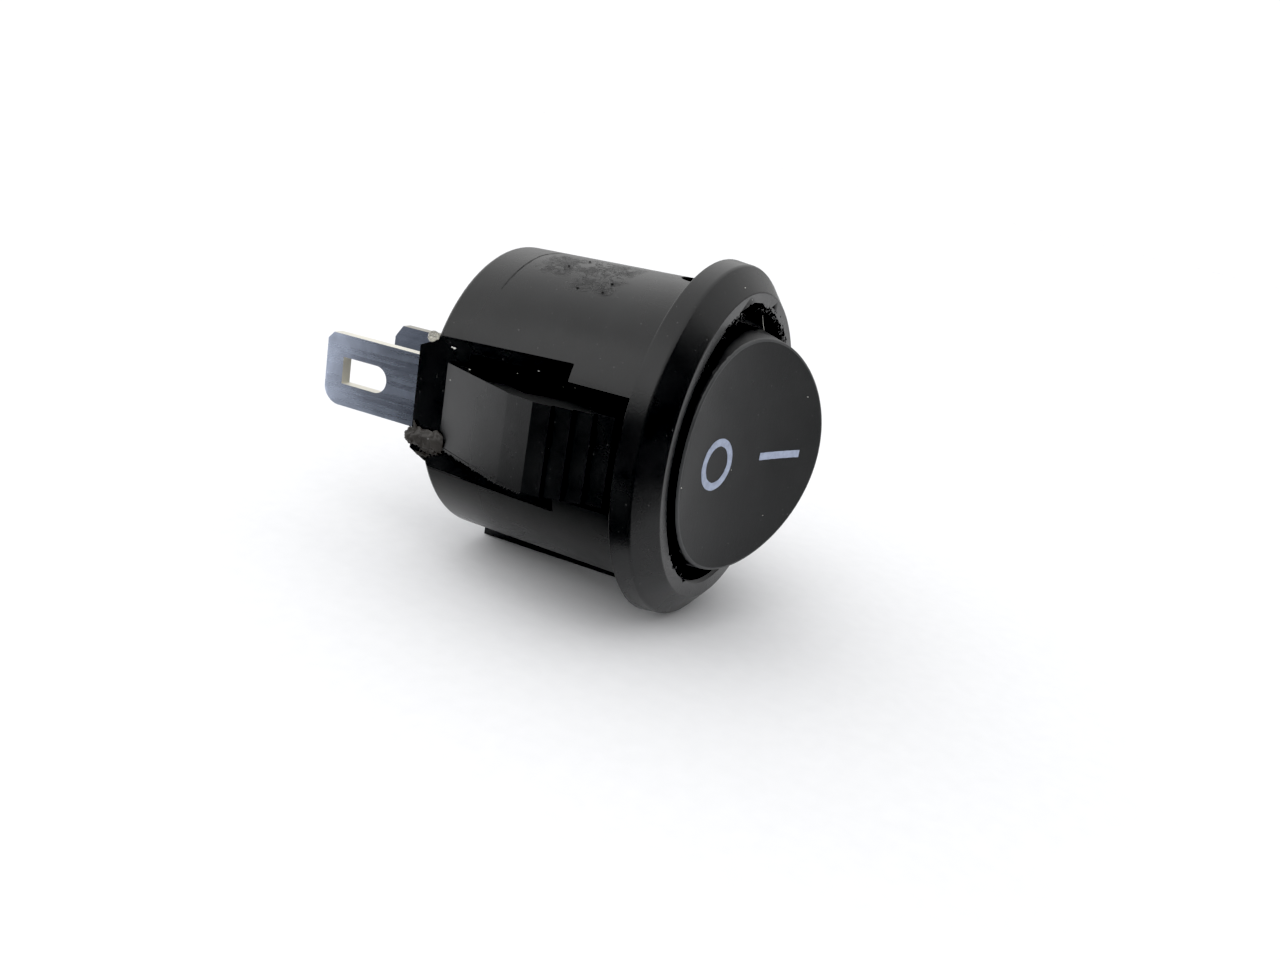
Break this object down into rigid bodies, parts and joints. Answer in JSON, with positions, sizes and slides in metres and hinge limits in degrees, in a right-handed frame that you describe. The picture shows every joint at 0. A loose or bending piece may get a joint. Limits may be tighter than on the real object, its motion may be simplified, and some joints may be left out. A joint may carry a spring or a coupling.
{
  "type": "panel rocker switch",
  "caption": "Round snap-in panel rocker switch that opens and closes one circuit between its blade terminals.",
  "frame": {"origin": "centre of the bezel's back face, which seats on the panel, on the barrel's axis", "axes": "+Y into the panel, from the rocker towards the terminals; +Z along the rocker's pivot; +X towards the I side"},
  "size_m": [0.0248, 0.031, 0.023],
  "materials": {
    "housing_black": "satin moulded nylon",
    "rocker_black": "fine matte moulded nylon",
    "blade_metal": "tin-plated brass with rolling scratches",
    "lever_metal": "plain copper alloy",
    "contact_silver": "satin silver",
    "spring_steel": "bright drawn wire",
    "plunger_nylon": "natural nylon"
  },
  "bodies": {
    "housing": {"housing": "housing_black", "common_terminal": "blade_metal", "line_terminal": "blade_metal", "fixed_contact": "contact_silver"},
    "rocker": {"rocker": "rocker_black", "plunger_spring": "spring_steel"},
    "plunger": {"plunger": "plunger_nylon"},
    "lever": {"contact_lever": "lever_metal", "moving_contact": "contact_silver"}
  },
  "joints": [
    {"name": "rocker_pivot", "type": "hinge", "parent": "housing", "child": "rocker", "pos_m": [0, 0.00145, 0], "axis": [0, 0, 1], "range_deg": [0, 30]},
    {"name": "plunger_slide", "type": "slide", "parent": "rocker", "child": "plunger", "axis": [0.2588, 0.9659, 0], "range_m": [-0.001, 0], "stiffness_N_per_m": 300, "springref_m": 0.002, "deforming": ["plunger_spring"]},
    {"name": "lever_pivot", "type": "hinge", "parent": "housing", "child": "lever", "pos_m": [0, 0.011, 0], "axis": [0, 0, 1], "range_deg": [-25, 0]}
  ],
  "couplings": [
    {"joint": "lever_pivot", "follows": "rocker_pivot", "ratio": -0.83333}
  ]
}
